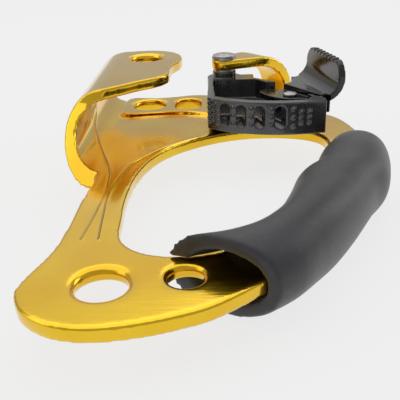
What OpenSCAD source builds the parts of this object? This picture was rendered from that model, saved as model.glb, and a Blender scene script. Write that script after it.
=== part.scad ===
// Handled rope ascender, right hand, with its toothed cam latched open.
// Origin: axis of the large lower hole, at mid-thickness of the frame sheet.
// +Y runs up the rope, +X points to the handle, +Z comes out of the front face.

/* [Frame sheet] */
// Thickness of the frame sheet
plate_t = 4.4; // [3.6:0.1:5]
// Depth of the rounded rims of the frame's holes
rim_r = 1.4; // [0.4:0.1:1.7]
// Height of the raised pad around the upper holes
pad_h = 1.5; // [0.8:0.1:2]

/* [Holes] */
// Diameter of the large lower hole
lower_hole_d = 13.4; // [12:0.2:16]
// Diameter of the small lower hole
small_hole_d = 9.4; // [8:0.2:10.5]
// Width of the rounded rim round a large hole
rim_w = 2.6; // [1:0.1:3]
// Width of the rounded rim round the small lower hole
small_rim_w = 1.9; // [0.6:0.1:2.2]
// Diameter of the upper hole, through the sheet and the flap
upper_hole_d = 14.6; // [12:0.2:16]
// Width of the oval hole between the upper hole and the cam
oval_hole_w = 12; // [9:0.2:13]
// Length of the oval hole
oval_hole_len = 17; // [14:0.5:19]

/* [Rope channel] */
// Clear depth of the rope channel, from the sheet to the flap
channel_gap = 19.2; // [17:0.2:22]
// Distance from the cam's axis to the channel's inner wall
channel_reach = 56; // [55:0.1:60]

/* [Bridge] */
// Width of the bridge over the cam
bridge_w = 11; // [9:0.5:13]
// Angle of the bridge, from straight across to up the rope
bridge_turn = 38; // [34:1:40]
// Angle by which the bridge's lower edge spreads towards its foot
bridge_spread = 20; // [0:1:22]
// Outer radius of the bridge's bend
bridge_r = 19.5; // [17:0.5:19.5]

/* [Cam] */
// Height of the cam's body
cam_h = 13.1; // [11:0.1:13.8]
// Thickness of the cam's floor
cam_floor = 4.6; // [3:0.1:5]
// Thickness of the cam's toothed wall
tooth_wall = 4; // [3:0.1:5]
// Thickness of the cam's side walls
side_wall = 2.6; // [2:0.1:3.2]
// Radius of the cam's face, straight below the axis and 20 degrees towards the handle
cam_r = 47; // [42:0.5:48]
// Growth of the cam's radius for each radian of its face
cam_growth = 0.54; // [0.4:0.01:0.56]
// Number of self-cleaning slots in the toothed wall
slot_count = 4; // [1:1:4]
// Width of a self-cleaning slot
slot_w = 3.6; // [2:0.1:4.4]
// Height of a self-cleaning slot
slot_h = 9; // [6:0.1:9.4]
// Height of a tooth
tooth_h = 1.3; // [0.6:0.1:1.6]
// Base diameter of a tooth
tooth_d = 2; // [1:0.1:2.2]

/* [Pivots] */
// Diameter of the cam rivet's shank
rivet_d = 6; // [5:0.1:7]
// Wall of the bush between the rivet and the cam
bush_wall = 0.8; // [0.6:0.1:1]
// Diameter of the catch pin's shank
pin_d = 3.4; // [2.6:0.1:4]
// Radial clearance of a running fit
fit = 0.05; // [0.02:0.01:0.1]
// Thickness of the thrust washers
washer_t = 0.8; // [0.5:0.1:1]
// Gap left between flat faces that turn past each other
end_gap = 0.1; // [0.05:0.05:0.2]

/* [Springs] */
// Wire diameter of the cam spring
cam_wire = 1; // [0.7:0.1:1.2]
// Wire diameter of the catch spring
catch_wire = 0.7; // [0.5:0.1:0.8]

/* [Catch] */
// Thickness of the catch's sheet
catch_t = 2.6; // [2:0.1:2.8]
// Height of the catch's thumb scoop above its arm
scoop_h = 15.8; // [12:0.2:18]
// Length of the thumb scoop
scoop_len = 36; // [30:1:38]
// Number of grip notches along the top of the scoop
notch_count = 8; // [0:1:9]

/* [Grip] */
// Thickness of the grip, front to back
grip_t = 25; // [22:0.5:28]
// Wall of the rubber sleeve
sleeve_wall = 2.6; // [2:0.1:3.2]
// Wall of the rubber sleeve at its lower mouth
mouth_wall = 5; // [3.4:0.1:5.6]
// Width of the handle leg's edge inside the grip, on each side
leg_inset = 4.6; // [4.2:0.1:5.2]
// Clearance between the sheet and the pieces clipped round it
clip_gap = 0.15; // [0.05:0.05:0.3]

/* [Hidden] */
$fn = 48;
eps = 0.01;

// levels
sheet_top = plate_t / 2;
pad_top = sheet_top + pad_h;
flap_z = sheet_top + channel_gap;
flap_top = flap_z + plate_t;
cam_z = pad_top + washer_t + end_gap;
cam_top = cam_z + cam_h;
hub_top = flap_z - washer_t - end_gap;

// places in plan
cam_axis = [33.5, 143.5];
catch_axis = [60.2, 118.5];
small_hole = [21, 2.8];
upper_hole = [-1.7, 150.7];
oval_hole = [16.4, 150];

// bend of the rope channel
bend_ri = channel_gap / 2;
bend_ro = bend_ri + plate_t;
bend_x = cam_axis[0] - channel_reach + bend_ri;
bend_z = sheet_top + bend_ri;

// ---- curves ----

function spline_at(a, b, c, d, t) =
    0.5 * (2 * b + (c - a) * t + (2 * a - 5 * b + 4 * c - d) * t * t
        + (3 * b - a - 3 * c + d) * t * t * t);

// A smooth curve through the points of an open list
function open_spline(p, n) = let (m = len(p)) [
    for (i = [0:m - 2], k = [0:n - 1])
        spline_at(p[max(i - 1, 0)], p[i], p[i + 1], p[min(i + 2, m - 1)], k / n),
    p[m - 1]
];

// A smooth curve through the points of a closed list
function loop_spline(p, n) = let (m = len(p)) [
    for (i = [0:m - 1], k = [0:n - 1])
        spline_at(p[(i + m - 1) % m], p[i], p[(i + 1) % m], p[(i + 2) % m], k / n)
];

function unit(v) = v / norm(v);
function reverse(list) = [for (i = [len(list) - 1:-1:0]) list[i]];
function polar(r, a) = [r * cos(a), r * sin(a)];

// ---- the grip's plan: pairs of points across it, from the mouth to the top end ----

grip_inner_edge = [
    [15, 13], [25, 14], [36, 18.5], [44.3, 27.3], [48.8, 37.8], [52, 47.5], [54.8, 55.8],
    [60.4, 62.6], [63.6, 70.5], [66.2, 78], [70, 84.5], [71.8, 90.5], [75.5, 93.5]
];
grip_outer_edge = [
    [44, -2.5], [51.5, 4], [57.4, 12], [64.2, 21.5], [70.6, 31.5], [75.8, 40.5], [80.6, 49.3],
    [86, 57.5], [89, 66.5], [90.8, 74.5], [91.4, 82], [89.4, 89], [85, 93.5]
];
// Thickness of the grip at each pair, as a share of grip_t
grip_depth = [0.94, 0.92, 0.94, 1, 1, 0.97, 1, 0.97, 1, 0.97, 0.9, 0.7, 0.42];

grip_steps = 3;
grip_in = open_spline(grip_inner_edge, grip_steps);
grip_out = open_spline(grip_outer_edge, grip_steps);
grip_half = open_spline(grip_depth, grip_steps) * grip_t / 2;

// Edges of the frame's handle leg, inset from the grip's edges
function inset_in(i, d) = grip_in[i] + d * unit(grip_out[i] - grip_in[i]);
function inset_out(i, d) = grip_out[i] - d * unit(grip_out[i] - grip_in[i]);

// One ring of a tube across the grip, shrunk by d all round
ring_n = 28;
function squash(v, p) = sign(v) * pow(abs(v), p);
function grip_ring(i, d) = let (
    a = inset_in(i, d),
    b = inset_out(i, d),
    mid = (a + b) / 2,
    half = (b - a) / 2,
    h = grip_half[i] - d
) [
    for (k = [0:ring_n - 1]) let (t = 360 * k / ring_n, c = squash(cos(t), 0.92), s = squash(sin(t), 0.92))
        [mid[0] + half[0] * c, mid[1] + half[1] * c, h * s]
];

// A closed tube through rings that all have ring_n points
module skin(rings) {
    m = len(rings);
    pts = [for (r = rings, p = r) p];
    polyhedron(pts, concat(
        [[for (k = [ring_n - 1:-1:0]) k]],
        [for (i = [0:m - 2], k = [0:ring_n - 1]) let (q = (k + 1) % ring_n)
            [i * ring_n + k, i * ring_n + q, (i + 1) * ring_n + q, (i + 1) * ring_n + k]],
        [[for (k = [0:ring_n - 1]) (m - 1) * ring_n + k]]
    ));
}

module grip_tube(first, last, d) {
    skin([for (i = [first:last]) grip_ring(i, d)]);
}

// ---- frame ----

leg_first = 2;
leg_last = 3 * 11;
leg_outer = [for (i = [leg_first + 1:3:leg_last]) inset_out(i, leg_inset)];
leg_inner = [for (i = [leg_first + 2:3:leg_last - 4]) inset_in(i, leg_inset)];

outline_points = concat(
    [[-20.8, 1], [-20.9, -4], [-17.4, -10.8], [-12, -15.2], [-6.5, -17.4], [0, -18.2], [9, -17.2],
        [19.5, -14.2], [30, -9.1]],
    leg_outer,
    [[86.8, 101], [86.4, 110], [84.6, 120], [81.6, 128.5], [76, 135.5], [69, 141.5], [63.5, 148], [60, 156],
        [54, 163.5], [46, 166.3], [37, 166.8], [28, 166.8], [19, 166.6], [10, 164.6], [0, 163.2]],
    [[bend_x, 163.4], [bend_x, 120], [bend_x, 86], [bend_x - 0.3, 74], [-13.6, 63], [-14.8, 46], [-15, 34],
        [-15.6, 22], [-17, 14], [-19.2, 7]]
);

opening_points = concat(
    [[0.4, 34], [0.9, 26], [3.2, 20], [8, 15.4], [15, 13], [22, 13.4], [29, 16.6]],
    leg_inner,
    [[72.2, 93], [72.2, 100.5], [69.5, 107], [64, 111], [56, 113.4], [48, 114], [39, 112.8], [30, 109.6], [20, 103.4],
        [10.5, 94], [4.6, 83], [1.2, 70], [0, 58], [-0.2, 46]]
);

pad_points = [
    [-13, 137.6], [0, 137], [14, 137.6], [24, 134.5], [36, 129.5], [48, 128.6], [58, 132],
    [64, 138], [61.5, 144], [57.5, 149.5], [50, 155], [41, 159.5], [31, 163.5], [19, 165.6], [10, 163.6],
    [0, 162.2], [-13, 162.4]
];

// Lower edge of the channel's bend and flap, as the height along Y for a level z
bend_edge = [[-2.3, 65], [0.5, 69], [5, 76], [11.8, 84.5], [18.5, 91.6], [21.4, 94.8], [25.8, 96], [27, 96.2]];

flap_points = [
    [bend_x - 1, 95.4], [-7, 101], [-0.5, 107], [5, 111], [8.8, 115.4], [10.6, 120.5], [10.4, 127.5],
    [11.6, 135], [14, 142], [14.6, 149], [13.2, 156], [9.6, 162], [4, 165.6], [-2, 167], [-8, 166.4],
    [bend_x - 1, 165.6]
];

// A hole through a sheet from z0 to z1, with rounded rims w wide
module rimmed_hole(d, w, z0, z1) {
    translate([0, 0, z0 - 1]) cylinder(d = d, h = z1 - z0 + 2);
    for (side = [0, 1])
        translate([0, 0, side ? z1 : z0]) mirror([0, 0, side]) rotate_extrude() difference() {
            translate([0, -eps]) square([d / 2 + w, rim_r + eps]);
            translate([d / 2 + w, rim_r]) scale([w / rim_r, 1]) circle(r = rim_r);
        }
}

module sheet(points, z0, t) {
    translate([0, 0, z0]) linear_extrude(t) polygon(points);
}

module oval_2d(w, l) {
    for (side = [-1, 1]) translate([0, side * (l - w) / 2]) circle(d = w);
    square([w, l - w], center = true);
}

module channel_bend() {
    side_cut = open_spline(bend_edge, 4);
    intersection() {
        translate([bend_x, 170, bend_z]) rotate([90, 0, 0]) linear_extrude(112) difference() {
            circle(r = bend_ro, $fn = 96);
            circle(r = bend_ri, $fn = 96);
            translate([0, -2 * bend_ro]) square(4 * bend_ro);
        }
        translate([bend_x - bend_ro - 1, 0, 0]) rotate([90, 0, 90]) linear_extrude(bend_ro + 1 + eps)
            polygon(concat(
                [for (p = side_cut) [p[1], p[0]]],
                [[165.6, 27], [165.6, 20], [163.4, 5], [163.4, -4]]
            ));
    }
}

// The bridge springs from the sheet's right edge and reaches back over the cam
bridge_cx = 46.3;
bridge_cz = flap_top - bridge_r;
bridge_foot_r = 6;
function arc(c, r, a0, a1, n) = [for (k = [0:n]) c + polar(r, a0 + (a1 - a0) * k / n)];

module bridge() {
    top = [bridge_cx - cam_axis[0], bridge_cz];
    foot = [top[0] + bridge_r - bridge_foot_r, -sheet_top + bridge_foot_r];
    translate([cam_axis[0], cam_axis[1], 0]) rotate(bridge_turn) intersection() {
        translate([0, bridge_w, 0]) rotate([90, 0, 0]) linear_extrude(2 * bridge_w) polygon(concat(
            [[-bridge_w, flap_top]],
            arc(top, bridge_r, 90, 0, 20),
            arc(foot, bridge_foot_r, 0, -90, 8),
            arc(foot, bridge_foot_r - plate_t, -90, 0, 8),
            arc(top, bridge_r - plate_t, 0, 90, 20),
            [[-bridge_w, flap_z]]
        ));
        translate([0, 0, -sheet_top - 1]) linear_extrude(flap_top + sheet_top + 2) {
            circle(d = bridge_w);
            polygon([
                [0, bridge_w / 2],
                -polar(bridge_w / 2, 90 - bridge_spread),
                [2 * bridge_r, -bridge_w / 2 - 2 * bridge_r * tan(bridge_spread)],
                [2 * bridge_r, bridge_w / 2]
            ]);
        }
    }
}

module frame() {
    color("goldenrod") difference() {
        union() {
            sheet(loop_spline(outline_points, 4), -sheet_top, plate_t);
            sheet(loop_spline(pad_points, 3), 0, pad_top);
            sheet(open_spline(flap_points, 4), flap_z, plate_t);
            channel_bend();
            bridge();
        }
        sheet(loop_spline(opening_points, 4), -sheet_top - 1, plate_t + 2);
        rimmed_hole(lower_hole_d, rim_w, -sheet_top, sheet_top);
        translate(small_hole) rimmed_hole(small_hole_d, small_rim_w, -sheet_top, sheet_top);
        translate(upper_hole) rimmed_hole(upper_hole_d, rim_w, -sheet_top, pad_top);
        translate(upper_hole) rimmed_hole(upper_hole_d, rim_w, flap_z, flap_top);
        translate([oval_hole[0], oval_hole[1], -sheet_top - 1])
            linear_extrude(plate_t + pad_h + 2) oval_2d(oval_hole_w, oval_hole_len);
        translate([cam_axis[0], cam_axis[1], -sheet_top - 1]) cylinder(d = rivet_d, h = flap_top + sheet_top + 2);
    }
}

// ---- grip ----

core_first = 4;
core_last = 3 * 10;

// The sheet's own outline, grown by gap all round, for cutting its seat in the grip
module leg_slab(gap) {
    translate([0, 0, -sheet_top - gap]) linear_extrude(plate_t + 2 * gap) offset(delta = gap) difference() {
        polygon(loop_spline(outline_points, 4));
        polygon(loop_spline(opening_points, 4));
    }
}

// Wall of the sleeve at a ring: it thins from the mouth to the cores
function wall_at(i) = max(sleeve_wall, mouth_wall - i * (mouth_wall - sleeve_wall) / core_first);

module grip_sleeve() {
    color("dimgray") difference() {
        grip_tube(0, len(grip_in) - 1, 0);
        skin(concat(
            [[for (p = grip_ring(0, mouth_wall)) p - [4, 8, 0]]],
            [for (i = [1:core_last + 1]) grip_ring(i, wall_at(i))]
        ));
        leg_slab(clip_gap);
    }
}

module grip_core(side) {
    gap = sleeve_wall + clip_gap;
    intersection() {
        difference() {
            grip_tube(core_first, core_last, gap);
            leg_slab(clip_gap);
        }
        translate([-50, -50, side > 0 ? eps : -50 - eps]) cube([200, 250, 50]);
    }
}

module grip_core_front() {
    color([0.16, 0.16, 0.17]) grip_core(1);
}

module grip_core_back() {
    color([0.16, 0.16, 0.17]) grip_core(-1);
}

// ---- cam, drawn about its own axis ----

face_start = -102.5;
face_end = -48;
function face_r(a) = cam_r * exp(cam_growth * (a + 70) * PI / 180);
function face_arc(a0, a1, d) = [for (k = [0:14]) let (a = a0 + (a1 - a0) * k / 14) polar(face_r(a) - d, a)];

hub_d = 15.2;
hub_boss_d = 10.4;
cam_back = [[38.6, -39.4], [36.4, -34.6], [31.2, -25.6], [19.4, -9.2], [10, -1]];

bush_ro = rivet_d / 2 + fit + bush_wall;
cam_bore_r = bush_ro + fit;
spring_ri = cam_bore_r + 0.5;
spring_r = spring_ri + 0.3 + cam_wire / 2;
spring_ro = spring_r + cam_wire / 2 + 0.3;
spring_pocket = 6;

catch_z = cam_top - catch_t - 2.6;
catch_high_z = catch_z + catch_t;
pin_boss_d = 5.6;
pin_boss_top = catch_z - end_gap - washer_t;
spring_room = 2.4;
floor_t = min(cam_floor, pin_boss_top - cam_z - spring_room);
catch_spring_r = pin_boss_d / 2 + 0.15 + catch_wire / 2;
pin_pocket_r = catch_spring_r + catch_wire / 2 + 0.2;
catch_at = catch_axis - cam_axis;
catch_pull = -8;
first_slot = -90.9;
slot_pitch = 8.7;
tooth_mid = cam_z + cam_h / 2 + 0.6;

cam_points = concat(face_arc(face_start, face_end, 0), cam_back, [[0, 0], [-hub_d / 2 + 0.4, 0]]);

module cam_outline() {
    polygon(cam_points);
    translate(catch_at) circle(r = pin_pocket_r + 1.2);
    circle(d = hub_d);
    translate([-4, -6.4]) square([17, 9]);
}

module cam_cavity() {
    inner = face_arc(face_start + 5, face_end - 4.4, tooth_wall);
    polygon(concat(
        inner,
        [[34.2, -36], [28.6, -26.4], [17.4, -11.4], [13.6, -6.4], [-4.6, -6.4]],
        [[-4.9, -12]]
    ));
}

module tooth(a, z) {
    translate([0, 0, z]) rotate([0, 0, a]) translate([face_r(a) - 0.4, 0, 0])
        rotate([0, 90, -atan(cam_growth)]) cylinder(d1 = tooth_d, d2 = 0.3, h = tooth_h + 0.4, $fn = 16);
}

module slot_cut(a) {
    rotate([0, 0, a]) translate([face_r(a) - 9, 0, tooth_mid]) rotate([90, 0, 90]) linear_extrude(14)
        oval_2d(slot_w, slot_h);
}

// Room for the catch's spring and washer round the pin's boss
module pin_pocket() {
    floor_top = cam_z + floor_t;
    translate([catch_at[0], catch_at[1], floor_top]) difference() {
        cylinder(r = pin_pocket_r, h = catch_z - floor_top);
        translate([0, 0, -1]) cylinder(d = pin_boss_d, h = pin_boss_top - floor_top + 1);
    }
}

module cam() {
    color([0.22, 0.23, 0.25]) translate([cam_axis[0], cam_axis[1], 0]) {
        difference() {
            union() {
                translate([0, 0, cam_z]) linear_extrude(cam_h) cam_outline();
                translate([0, 0, cam_z]) cylinder(d = hub_boss_d, h = hub_top - cam_z);
            }
            difference() {
                translate([0, 0, cam_z + floor_t]) linear_extrude(cam_h) cam_cavity();
                translate([catch_at[0], catch_at[1], cam_z]) cylinder(d = pin_boss_d, h = pin_boss_top - cam_z);
            }
            pin_pocket();
            for (k = [0:slot_count - 1]) slot_cut(first_slot + k * slot_pitch);
            translate([0, 0, cam_z - 1]) cylinder(r = cam_bore_r, h = 30);
            translate([0, 0, cam_z - eps]) difference() {
                cylinder(r = spring_ro, h = spring_pocket);
                translate([0, 0, -1]) cylinder(r = spring_ri, h = spring_pocket + 2);
            }
            translate([catch_at[0], catch_at[1], cam_z - 1]) cylinder(d = pin_d, h = 30);
            translate([catch_at[0], catch_at[1], cam_z - eps]) cylinder(d = pin_d + 2.6, h = 1.2);
            translate([0, 0, catch_z - end_gap]) linear_extrude(10) catch_passage();
        }
        for (k = [0:slot_count - 1], z = [-3.4, 0, 3.4]) tooth(first_slot + 5 + k * slot_pitch, tooth_mid + z);
        for (k = [0:2], z = [-4, -2, 0, 2, 4]) tooth(first_slot - 5 - k * 2.6, tooth_mid + z + (k % 2));
        for (k = [1:2], z = [-2.2, 0, 2.2]) tooth(first_slot + 5 + 3 * slot_pitch + k * 2.9, tooth_mid + z);
    }
}

// ---- catch, drawn about the cam's axis ----

catch_points = [
    [15.4, -20.6], [14.8, -16.4], [18.2, -13.2], [23.4, -15.6], [27, -14.6], [29, -11.4], [30.4, -6],
    [31.6, -1], [33.6, -3], [35.4, -11], [37.4, -21], [38.6, -30], [38.2, -34.6],
    [35.4, -32.4], [30.6, -30.2], [25, -30], [19.6, -26.4]
];

// Points of a clockwise loop moved outwards by d
function grow(p, d) = let (m = len(p)) [
    for (i = [0:m - 1]) let (t = unit(p[(i + 1) % m] - p[(i + m - 1) % m])) p[i] + d * [-t[1], t[0]]
];

// Room for the catch's arm to leave the cam's cavity and turn
module catch_passage() {
    for (a = [catch_pull, catch_pull / 2, 0])
        translate(catch_at) rotate(a) translate(-catch_at) polygon(grow(loop_spline(catch_points, 4), 0.5));
}

// Room for the cam's corner beside the scoop as the catch turns
module cam_passage() {
    for (a = [catch_pull, catch_pull / 2, 0])
        translate(catch_at) rotate(-a) translate(-catch_at) polygon(grow(reverse(cam_points), 0.4));
}

scoop_turn = 12.5;
scoop_at = [42.8, -18.5];
scoop_r = 9;

// The catch steps up from its tail in the cam's cavity to its arm along this line
step_angle = 34.3;
step_at = 11.6;

// The part of the catch's plan that lies beyond the step, by at least d
module beyond_step(d) {
    rotate(step_angle) translate([step_at + d, -50]) square(100);
}

// Moves the scoop's section to its place: x = 0 is where the arm starts to turn up
module place_scoop() {
    translate([scoop_at[0], scoop_at[1], catch_high_z]) rotate([0, 0, scoop_turn]) translate([-scoop_r, 0, 0]) children();
}

// Section across the scoop: the arm's sheet turns up into the thumb wall
module scoop_section() {
    intersection() {
        translate([0, scoop_r]) difference() {
            circle(r = scoop_r);
            circle(r = scoop_r - catch_t);
        }
        translate([-1, -1]) square([scoop_r + 2, scoop_r + 1]);
    }
    translate([scoop_r - catch_t, scoop_r - eps]) square([catch_t, scoop_h - scoop_r]);
}

// Side profile of the scoop, which rounds off its two top corners
module scoop_profile() {
    corner = 7;
    translate([-scoop_len / 2, -3]) square([scoop_len, scoop_h + 3 - corner]);
    translate([-scoop_len / 2 + corner, 0]) square([scoop_len - 2 * corner, scoop_h]);
    for (side = [-1, 1]) translate([side * (scoop_len / 2 - corner), scoop_h - corner]) circle(r = corner);
}

module catch() {
    notch_pitch = (scoop_len - 12) / max(notch_count - 1, 1);
    color([0.15, 0.15, 0.16]) translate([cam_axis[0], cam_axis[1], 0]) difference() {
        union() {
            translate([0, 0, catch_z]) linear_extrude(catch_t) difference() {
                polygon(loop_spline(catch_points, 4));
                beyond_step(catch_t);
            }
            translate([0, 0, catch_high_z - eps]) linear_extrude(catch_t + eps) intersection() {
                polygon(loop_spline(catch_points, 4));
                beyond_step(0);
            }
            difference() {
                place_scoop() intersection() {
                    translate([0, scoop_len / 2, 0]) rotate([90, 0, 0]) linear_extrude(scoop_len) scoop_section();
                    translate([-5, 0, 0]) rotate([90, 0, 90]) linear_extrude(40) scoop_profile();
                }
                translate([0, 0, catch_z - 1]) linear_extrude(cam_top - catch_z + 1.4) cam_passage();
            }
            translate([38, -32, catch_high_z - 5.7]) cube([4, 9, 7.3]);
        }
        translate([catch_at[0], catch_at[1], catch_z - 1]) cylinder(r = pin_d / 2 + 0.5 + fit, h = catch_t + 2);
        place_scoop() for (k = [0:notch_count - 1])
            translate([0, (k - (notch_count - 1) / 2) * notch_pitch, scoop_h]) rotate([0, 90, 0])
                cylinder(r = 0.9, h = 20, $fn = 24);
        translate([0, -4, catch_z - 1]) cube([bridge_cx + bridge_r - cam_axis[0] + 0.6, 30, 20]);
    }
}

// ---- pivots ----

head_t = 1.6;
head_d = 10;

// A low domed rivet head standing on z = 0
module domed_head(d, h) {
    edge = 0.8;
    dome_r = (d * d / 4 + (h - edge) * (h - edge)) / (2 * (h - edge));
    cylinder(d = d, h = edge);
    translate([0, 0, edge - eps]) intersection() {
        translate([0, 0, h - edge - dome_r]) sphere(r = dome_r, $fn = 64);
        cylinder(d = d, h = h);
    }
}

module ring(ri, ro, h) {
    difference() {
        cylinder(r = ro, h = h);
        translate([0, 0, -1]) cylinder(r = ri, h = h + 2);
    }
}

module cam_rivet() {
    color("silver") translate([cam_axis[0], cam_axis[1], 0]) {
        translate([0, 0, -sheet_top - eps]) cylinder(d = rivet_d, h = flap_top + sheet_top + washer_t + 2 * eps);
        translate([0, 0, flap_top + washer_t]) domed_head(head_d, head_t);
        translate([0, 0, -sheet_top]) mirror([0, 0, 1]) domed_head(head_d + 1, 1.6);
    }
}

module rivet_head_washer() {
    color("gainsboro") translate([cam_axis[0], cam_axis[1], flap_top]) ring(rivet_d / 2, head_d / 2 + 0.4, washer_t);
}

module thrust_washer_upper() {
    color("gainsboro") translate([cam_axis[0], cam_axis[1], flap_z - washer_t])
        ring(rivet_d / 2, 4.8, washer_t);
}

module thrust_washer_lower() {
    color("gainsboro") translate([cam_axis[0], cam_axis[1], pad_top]) ring(rivet_d / 2, 8, washer_t);
}

module cam_bush() {
    color("peru") translate([cam_axis[0], cam_axis[1], cam_z]) ring(rivet_d / 2 + fit, bush_ro, hub_top - cam_z);
}

// A coil of round wire about the Z axis, closed at both ends
coil_sides = 8;
coil_steps = 20;
module coil(r, wire, turns, height) {
    m = turns * coil_steps + 1;
    pts = [
        for (i = [0:m - 1], k = [0:coil_sides - 1]) let (
            a = 360 * i / coil_steps,
            w = 360 * k / coil_sides,
            q = r + wire / 2 * cos(w)
        ) [q * cos(a), q * sin(a), height * i / (m - 1) + wire / 2 * sin(w)]
    ];
    polyhedron(pts, concat(
        [[for (k = [coil_sides - 1:-1:0]) k]],
        [for (i = [0:m - 2], k = [0:coil_sides - 1]) let (q = (k + 1) % coil_sides)
            [i * coil_sides + k, i * coil_sides + q, (i + 1) * coil_sides + q, (i + 1) * coil_sides + k]],
        [[for (k = [0:coil_sides - 1]) (m - 1) * coil_sides + k]]
    ));
}

module cam_spring() {
    color("silver") translate([cam_axis[0], cam_axis[1], cam_z + cam_wire / 2 + 0.2])
        coil(spring_r, cam_wire, 4, spring_pocket - cam_wire - 0.6);
}

module catch_pin() {
    color("silver") translate([catch_axis[0], catch_axis[1], 0]) {
        translate([0, 0, cam_z + 0.1]) cylinder(d = pin_d, h = catch_high_z + end_gap - cam_z);
        translate([0, 0, catch_high_z + end_gap]) domed_head(6, 1.3);
        translate([0, 0, cam_z + 0.1]) cylinder(d = pin_d + 2.2, h = 1);
    }
}

module catch_pin_washer() {
    color("gainsboro") translate([catch_axis[0], catch_axis[1], pin_boss_top]) ring(pin_d / 2, 3.4, washer_t);
}

module catch_pin_bush() {
    color("peru") translate([catch_axis[0], catch_axis[1], catch_z]) ring(pin_d / 2 + fit, pin_d / 2 + fit + 0.5, catch_t);
}

module catch_spring() {
    color("silver") translate([catch_axis[0], catch_axis[1], cam_z + floor_t + catch_wire / 2 + 0.1])
        coil(catch_spring_r, catch_wire, 1.5, pin_boss_top - cam_z - floor_t - catch_wire - 0.3);
}

frame();
grip_sleeve();
grip_core_front();
grip_core_back();
cam();
cam_rivet();
rivet_head_washer();
thrust_washer_upper();
thrust_washer_lower();
cam_bush();
cam_spring();
catch();
catch_pin();
catch_pin_washer();
catch_pin_bush();
catch_spring();
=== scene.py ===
"""Looks of the handled rope ascender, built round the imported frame. MM turns millimetres into metres."""
import math

import bpy
import numpy as np
from mathutils import Matrix, Vector


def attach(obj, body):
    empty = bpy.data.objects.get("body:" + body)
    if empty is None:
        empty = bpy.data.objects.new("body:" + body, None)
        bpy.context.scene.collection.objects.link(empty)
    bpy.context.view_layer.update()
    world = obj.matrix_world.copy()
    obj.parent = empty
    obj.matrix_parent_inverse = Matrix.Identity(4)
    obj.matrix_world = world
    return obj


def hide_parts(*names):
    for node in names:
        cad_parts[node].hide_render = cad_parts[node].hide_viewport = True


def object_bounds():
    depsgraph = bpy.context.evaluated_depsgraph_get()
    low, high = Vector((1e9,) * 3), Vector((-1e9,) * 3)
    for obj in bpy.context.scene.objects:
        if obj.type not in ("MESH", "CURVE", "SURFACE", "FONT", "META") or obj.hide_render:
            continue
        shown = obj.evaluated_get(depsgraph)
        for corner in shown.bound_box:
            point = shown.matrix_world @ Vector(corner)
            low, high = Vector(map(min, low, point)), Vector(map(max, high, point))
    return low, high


MM = 0.001
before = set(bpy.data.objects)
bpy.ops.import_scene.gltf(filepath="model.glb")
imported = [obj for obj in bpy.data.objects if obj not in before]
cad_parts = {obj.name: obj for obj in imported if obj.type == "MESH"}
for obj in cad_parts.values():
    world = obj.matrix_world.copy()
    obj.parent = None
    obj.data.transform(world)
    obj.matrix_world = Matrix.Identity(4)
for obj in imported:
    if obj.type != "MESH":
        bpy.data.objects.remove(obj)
cad_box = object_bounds()
scene = bpy.context.scene
scene.view_settings.view_transform = "Standard"


# ---- camera ----


def make_camera():
    pitch, roll, yaw = math.radians(25.3), math.radians(-2.3), math.radians(2.0)
    turn = Matrix.Rotation(yaw, 3, "Z")
    look = turn @ Vector((0, math.cos(pitch), -math.sin(pitch)))
    right = turn @ Vector((1, 0, 0))
    up = right.cross(look)
    right, up = (
        math.cos(roll) * right + math.sin(roll) * up,
        math.cos(roll) * up - math.sin(roll) * right,
    )
    data = bpy.data.cameras.new("camera")
    data.lens, data.sensor_width = 54, 36
    data.clip_start, data.clip_end = 0.005, 20
    cam = bpy.data.objects.new("camera", data)
    m = Matrix((right, up, -look)).transposed().to_4x4()
    m.translation = Vector((29.67, -124.7, 83.25)) * MM
    cam.matrix_world = m
    scene.collection.objects.link(cam)
    scene.camera = cam


make_camera()


# ---- node helpers ----


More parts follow.
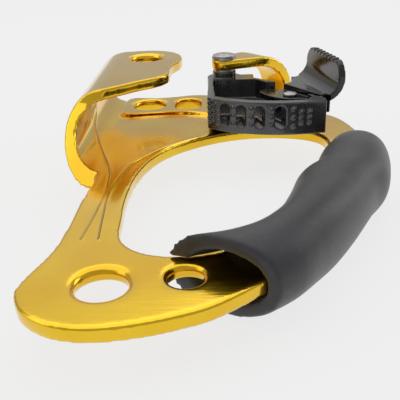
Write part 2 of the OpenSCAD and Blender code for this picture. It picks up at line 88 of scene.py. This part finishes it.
class Nodes:
    """Short calls for building one material's nodes. Textures use object coordinates in millimetres."""

    def __init__(self, name):
        self.mat = bpy.data.materials.new(name)
        self.mat.use_nodes = True
        self.tree = self.mat.node_tree
        self.bsdf = self.tree.nodes["Principled BSDF"]
        coords = self.tree.nodes.new("ShaderNodeTexCoord")
        self.mm = self.vector_scale(coords.outputs["Object"], (1000, 1000, 1000))

    def new(self, kind):
        return self.tree.nodes.new(kind)

    def link(self, a, b):
        self.tree.links.new(a, b)

    def put(self, socket, value):
        if isinstance(value, bpy.types.NodeSocket):
            self.link(value, socket)
        else:
            socket.default_value = value

    def set(self, **values):
        for key, value in values.items():
            self.put(self.bsdf.inputs[key.replace("_", " ")], value)

    def vector_scale(self, vec, scale):
        n = self.new("ShaderNodeMapping")
        self.link(vec, n.inputs["Vector"])
        n.inputs["Scale"].default_value = scale
        return n.outputs["Vector"]

    def noise(self, scale, detail=3.0, stretch=None, rough=0.5):
        n = self.new("ShaderNodeTexNoise")
        vec = self.vector_scale(self.mm, stretch) if stretch else self.mm
        self.link(vec, n.inputs["Vector"])
        n.inputs["Scale"].default_value = scale
        n.inputs["Detail"].default_value = detail
        n.inputs["Roughness"].default_value = rough
        return n.outputs["Fac"]

    def voronoi(self, scale, feature="F1"):
        n = self.new("ShaderNodeTexVoronoi")
        n.feature = feature
        self.link(self.mm, n.inputs["Vector"])
        n.inputs["Scale"].default_value = scale
        return n.outputs["Distance"]

    def ramp(self, fac, stops):
        n = self.new("ShaderNodeMapRange")
        n.interpolation_type = "SMOOTHSTEP"
        self.link(fac, n.inputs["Value"])
        for key, value in zip(("From Min", "From Max", "To Min", "To Max"), stops):
            n.inputs[key].default_value = value
        return n.outputs["Result"]

    def mix(self, fac, a, b):
        n = self.new("ShaderNodeMix")
        n.data_type = "RGBA"
        self.put(n.inputs["Factor"], fac)
        self.put(n.inputs["A"], a)
        self.put(n.inputs["B"], b)
        return n.outputs["Result"]

    def math(self, op, a, b):
        n = self.new("ShaderNodeMath")
        n.operation = op
        self.put(n.inputs[0], a)
        self.put(n.inputs[1], b)
        return n.outputs["Value"]

    def bump(self, height, distance_mm, strength=1.0):
        n = self.new("ShaderNodeBump")
        self.link(height, n.inputs["Height"])
        n.inputs["Distance"].default_value = distance_mm * MM
        n.inputs["Strength"].default_value = strength
        self.link(n.outputs["Normal"], self.bsdf.inputs["Normal"])
        return n

    def ridges(self, width_mm):
        """Height of the pressed lines in mm: 0.5 on a line, from the signed distances stored on the mesh."""
        total = None
        for name in ("line_left", "line_right"):
            n = self.new("ShaderNodeAttribute")
            n.attribute_name = name
            near = self.math("ABSOLUTE", n.outputs["Fac"], 0.0)
            line = self.ramp(near, (0.0, width_mm, 0.5, 0.0))
            total = line if total is None else self.math("MAXIMUM", total, line)
        return total


def rgb(r, g, b):
    return (r, g, b, 1.0)


# ---- materials ----


def gold_anodised():
    m = Nodes("gold_anodised")
    broad = m.noise(0.03, 2.0)
    fine = m.noise(1.8, 4.0)
    grain = m.noise(0.35, 2.0, stretch=(0.25, 6.0, 0.25))
    colour = m.mix(m.ramp(broad, (0.35, 0.65, 0, 1)), rgb(0.80, 0.47, 0.006), rgb(0.87, 0.56, 0.012))
    m.set(
        Base_Color=m.mix(m.ramp(fine, (0.55, 0.8, 0, 0.35)), colour, rgb(0.72, 0.42, 0.008)),
        Metallic=1.0,
        Roughness=m.ramp(grain, (0.3, 0.7, 0.13, 0.2)),
        Coat_Weight=0.6,
        Coat_Roughness=0.05,
        Coat_IOR=1.5,
    )
    skin = m.math("ADD", m.math("MULTIPLY", grain, 0.6), m.math("MULTIPLY", fine, 0.4))
    m.bump(m.math("ADD", m.math("MULTIPLY", skin, 0.03), m.ridges(0.36)), 1.0, 0.7)
    return m.mat


def black_steel(name, dark, light, rough):
    m = Nodes(name)
    broad = m.noise(0.06, 3.0)
    pits = m.noise(1.6, 5.0, rough=0.65)
    grain = m.noise(0.5, 3.0, stretch=(5.0, 0.4, 0.4))
    body = m.mix(m.ramp(broad, (0.3, 0.7, 0, 1)), rgb(*dark), rgb(*light))
    wear = m.math("ADD", m.math("MULTIPLY", pits, 0.6), m.math("MULTIPLY", grain, 0.4))
    m.set(
        Base_Color=m.mix(m.ramp(pits, (0.55, 0.75, 0, 0.5)), body, rgb(*[c * 0.6 for c in dark])),
        Metallic=0.85,
        Roughness=m.ramp(wear, (0.3, 0.7, rough - 0.08, rough + 0.1)),
        Coat_Weight=0.5,
        Coat_Roughness=0.12,
    )
    m.bump(pits, 0.025, 0.4)
    return m.mat


def rubber():
    m = Nodes("grip_rubber")
    broad = m.noise(0.05, 3.0)
    skin = m.noise(2.6, 6.0, rough=0.7)
    pebble = m.voronoi(1.9)
    dust = m.noise(0.35, 4.0)
    body = m.mix(m.ramp(broad, (0.3, 0.7, 0, 1)), rgb(0.017, 0.017, 0.020), rgb(0.026, 0.026, 0.031))
    m.set(
        Base_Color=m.mix(m.ramp(dust, (0.52, 0.78, 0, 0.4)), body, rgb(0.055, 0.055, 0.062)),
        Roughness=m.ramp(skin, (0.3, 0.7, 0.36, 0.5)),
        Sheen_Weight=0.12,
        Sheen_Roughness=0.5,
    )
    m.bump(m.math("ADD", m.math("MULTIPLY", skin, 0.5), m.math("MULTIPLY", pebble, 0.5)), 0.05, 0.35)
    return m.mat


def bright_steel():
    m = Nodes("turned_steel")
    rings = m.noise(1.2, 3.0, stretch=(1.0, 1.0, 0.2))
    spots = m.noise(0.4, 4.0)
    m.set(
        Base_Color=m.mix(m.ramp(spots, (0.4, 0.7, 0, 1)), rgb(0.50, 0.48, 0.48), rgb(0.36, 0.34, 0.34)),
        Metallic=1.0,
        Roughness=m.ramp(rings, (0.3, 0.7, 0.3, 0.42)),
    )
    m.bump(rings, 0.015, 0.3)
    return m.mat


def bronze():
    m = Nodes("sintered_bronze")
    pores = m.noise(3.0, 4.0)
    m.set(
        Base_Color=m.mix(m.ramp(pores, (0.5, 0.7, 0, 1)), rgb(0.45, 0.27, 0.11), rgb(0.22, 0.13, 0.06)),
        Metallic=1.0,
        Roughness=m.ramp(pores, (0.3, 0.7, 0.35, 0.55)),
    )
    m.bump(pores, 0.03, 0.4)
    return m.mat


def core_plastic():
    m = Nodes("core_plastic")
    speck = m.noise(1.2, 4.0)
    m.set(
        Base_Color=m.mix(m.ramp(speck, (0.4, 0.7, 0, 1)), rgb(0.010, 0.009, 0.008), rgb(0.022, 0.019, 0.016)),
        Roughness=m.ramp(speck, (0.3, 0.7, 0.5, 0.65)),
    )
    m.bump(speck, 0.05, 0.4)
    return m.mat


GOLD = gold_anodised()
CAM_STEEL = black_steel("cam_black_steel", (0.06, 0.061, 0.066), (0.095, 0.096, 0.102), 0.27)
CATCH_STEEL = black_steel("catch_black_steel", (0.022, 0.020, 0.020), (0.036, 0.031, 0.029), 0.16)
RUBBER = rubber()
STEEL = bright_steel()
BRONZE = bronze()
CORE = core_plastic()


# ---- meshes from the CAD solids ----


def paint(obj, mat):
    obj.data.materials.clear()
    obj.data.materials.append(mat)


def soften(obj, voxel_mm, rounds):
    """Rounds every edge of a CAD solid: an even fine skin, relaxed a few times."""
    remesh = obj.modifiers.new("skin", "REMESH")
    remesh.mode = "VOXEL"
    remesh.voxel_size = voxel_mm * MM
    remesh.use_smooth_shade = True
    relax = obj.modifiers.new("relax", "SMOOTH")
    relax.factor, relax.iterations = 0.5, rounds


def skinned_copy(node, name, voxel_mm, rounds):
    """A new object whose mesh is the softened skin of a CAD node, for further shaping."""
    tmp = bpy.data.objects.new(name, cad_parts[node].data.copy())
    scene.collection.objects.link(tmp)
    soften(tmp, voxel_mm, rounds)
    dg = bpy.context.evaluated_depsgraph_get()
    mesh = bpy.data.meshes.new_from_object(tmp.evaluated_get(dg))
    tmp.modifiers.clear()
    tmp.data = mesh
    tmp.data.name = name
    return tmp


def shade_smooth(obj):
    obj.data.polygons.foreach_set("use_smooth", [True] * len(obj.data.polygons))


def points_of(obj):
    co = np.zeros(len(obj.data.vertices) * 3)
    obj.data.vertices.foreach_get("co", co)
    return co.reshape(-1, 3) / MM


def normals_of(obj):
    no = np.zeros(len(obj.data.vertices) * 3)
    obj.data.vertices.foreach_get("normal", no)
    return no.reshape(-1, 3)


def set_points(obj, co):
    obj.data.vertices.foreach_set("co", (co * MM).ravel())
    obj.data.update()


def smoothstep(x):
    t = np.clip(x, 0, 1)
    return t * t * (3 - 2 * t)


def polyline_distance(p, line):
    """Least distance from each point of p to a polyline, negative on its right when seen from +Z."""
    best, side = np.full(len(p), 1e9), np.ones(len(p))
    for a, b in zip(line[:-1], line[1:]):
        a, b = np.array(a, float), np.array(b, float)
        d = b - a
        t = np.clip((p - a) @ d / (d @ d), 0, 1)
        off = p - a - t[:, None] * d
        far = np.linalg.norm(off, axis=1)
        nearer = far < best
        best = np.where(nearer, far, best)
        side = np.where(nearer, np.sign(d[0] * off[:, 1] - d[1] * off[:, 0]), side)
    return best * np.where(side < 0, -1, 1)


def catmull(points, steps=6):
    """A smooth polyline through the points."""
    p = [np.array(q, float) for q in points]
    out = []
    for i in range(len(p) - 1):
        a, b, c, d = p[max(i - 1, 0)], p[i], p[i + 1], p[min(i + 2, len(p) - 1)]
        for k in range(steps):
            t = k / steps
            bend = (2 * a - 5 * b + 4 * c - d) * t**2 + (3 * b - a - 3 * c + d) * t**3
            out.append(0.5 * (2 * b + (c - a) * t + bend))
    return out + [p[-1]]


# ---- frame sheet ----

SHEET_TOP = 2.2
RIDGE_H, RIDGE_W = 0.2, 0.6
RIDGE_FAR = 50
BEND_X, BEND_Z, BEND_RI = -12.9, 11.8, 9.6
RIDGE_LEFT = [
    (-9.5, 22), (-8.1, 39), (-7.9, 64), (-10.5, 79), (-15, 93), (-18.6, 104), (-21, 114), (-22.4, 126),
]
RIDGE_RIGHT = [(-4.5, 22), (-5.6, 38), (-6.2, 54), (-2.7, 76), (1, 84), (8.2, 95), (15.5, 102), (22, 107)]


def on_sheet(x, y):
    """The front face's level: flat, then up the channel's bend."""
    if x >= BEND_X:
        return (x, y, SHEET_TOP)
    drop = max(BEND_RI**2 - (x - BEND_X) ** 2, 0)
    return (x, y, BEND_Z - math.sqrt(drop))


def store(obj, name, values):
    """Keeps one number for each vertex, for the materials to read."""
    obj.data.attributes.new(name, "FLOAT", "POINT").data.foreach_set("value", values)


def frame_sheet():
    obj = skinned_copy("frame", "frame_sheet", 0.66, 9)
    p, n = points_of(obj), normals_of(obj)
    rise = np.zeros(len(p))
    # beyond its two ends a line fades: every point there counts as far away
    far = RIDGE_FAR * np.maximum(smoothstep((21.5 - p[:, 1]) / 1.5), smoothstep((p[:, 1] - 124) / 6))
    for name, line in (("line_left", RIDGE_LEFT), ("line_right", RIDGE_RIGHT)):
        d = polyline_distance(p, [on_sheet(*q) for q in catmull(line)])
        rise = np.maximum(rise, RIDGE_H * np.exp(-(((np.abs(d) + far) / RIDGE_W) ** 2)))
        store(obj, name, d + np.sign(d) * far)
    set_points(obj, p + n * rise[:, None])
    shade_smooth(obj)
    paint(obj, GOLD)
    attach(obj, "body")
    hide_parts("frame")


frame_sheet()


# ---- grip ----


def grip_skin():
    obj = skinned_copy("grip_sleeve", "grip_skin", 0.7, 14)
    shade_smooth(obj)
    paint(obj, RUBBER)
    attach(obj, "body")
    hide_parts("grip_sleeve")


grip_skin()


# ---- carried-over solids ----

for name, mat, voxel, rounds in (
    ("cam", CAM_STEEL, 0.3, 3),
    ("catch", CATCH_STEEL, 0.32, 3),
    ("cam_rivet", STEEL, 0.2, 2),
    ("catch_pin", STEEL, 0.15, 2),
):
    paint(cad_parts[name], mat)
    soften(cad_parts[name], voxel, rounds)

for name, mat in (
    ("rivet_head_washer", STEEL),
    ("thrust_washer_upper", STEEL),
    ("thrust_washer_lower", STEEL),
    ("catch_pin_washer", STEEL),
    ("cam_spring", STEEL),
    ("catch_spring", STEEL),
    ("cam_bush", BRONZE),
    ("catch_pin_bush", BRONZE),
    ("grip_core_front", CORE),
    ("grip_core_back", CORE),
):
    paint(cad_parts[name], mat)


# ---- stage ----

FLOOR_SIZE = 15.0
FLOOR_GAP = 0.0005


def stage():
    mesh = bpy.data.meshes.new("floor")
    size, z = FLOOR_SIZE, cad_box[0].z - FLOOR_GAP
    corners = [(-size, -size, z), (size, -size, z), (size, size, z), (-size, size, z)]
    mesh.from_pydata(corners, [], [(0, 1, 2, 3)])
    floor = bpy.data.objects.new("floor", mesh)
    scene.collection.objects.link(floor)
    m = bpy.data.materials.new("floor")
    m.use_nodes = True
    b = m.node_tree.nodes["Principled BSDF"]
    b.inputs["Base Color"].default_value = (0.1, 0.1, 0.1, 1)
    b.inputs["Roughness"].default_value = 0.9
    b.inputs["Specular IOR Level"].default_value = 0.0
    b.inputs["Emission Color"].default_value = (1, 1, 1, 1)
    b.inputs["Emission Strength"].default_value = 0.78
    mesh.materials.append(m)

    world = bpy.data.worlds.new("studio")
    scene.world = world
    world.use_nodes = True
    bg = world.node_tree.nodes["Background"]
    bg.inputs["Color"].default_value = (1, 1, 1, 1)
    bg.inputs["Strength"].default_value = 0.47

    def area(name, size, place, aim, power):
        light = bpy.data.lights.new(name, "AREA")
        light.shape, light.size, light.size_y = "RECTANGLE", size[0], size[1]
        light.energy = power
        o = bpy.data.objects.new(name, light)
        o.location = place
        o.rotation_euler = (Vector(aim) - Vector(place)).to_track_quat("-Z", "Y").to_euler()
        scene.collection.objects.link(o)

    aim = (0.03, 0.09, 0)
    area("softbox_top", (1.3, 1.0), (-0.1, 0.25, 0.8), aim, 3.2)
    area("softbox_back", (1.5, 0.65), (-0.15, 1.0, 0.7), aim, 0.95)
    area("softbox_left", (0.6, 0.6), (-0.8, -0.1, 0.5), aim, 0.9)
    area("softbox_right", (0.4, 0.6), (0.8, 0.4, 0.4), aim, 1.2)


stage()
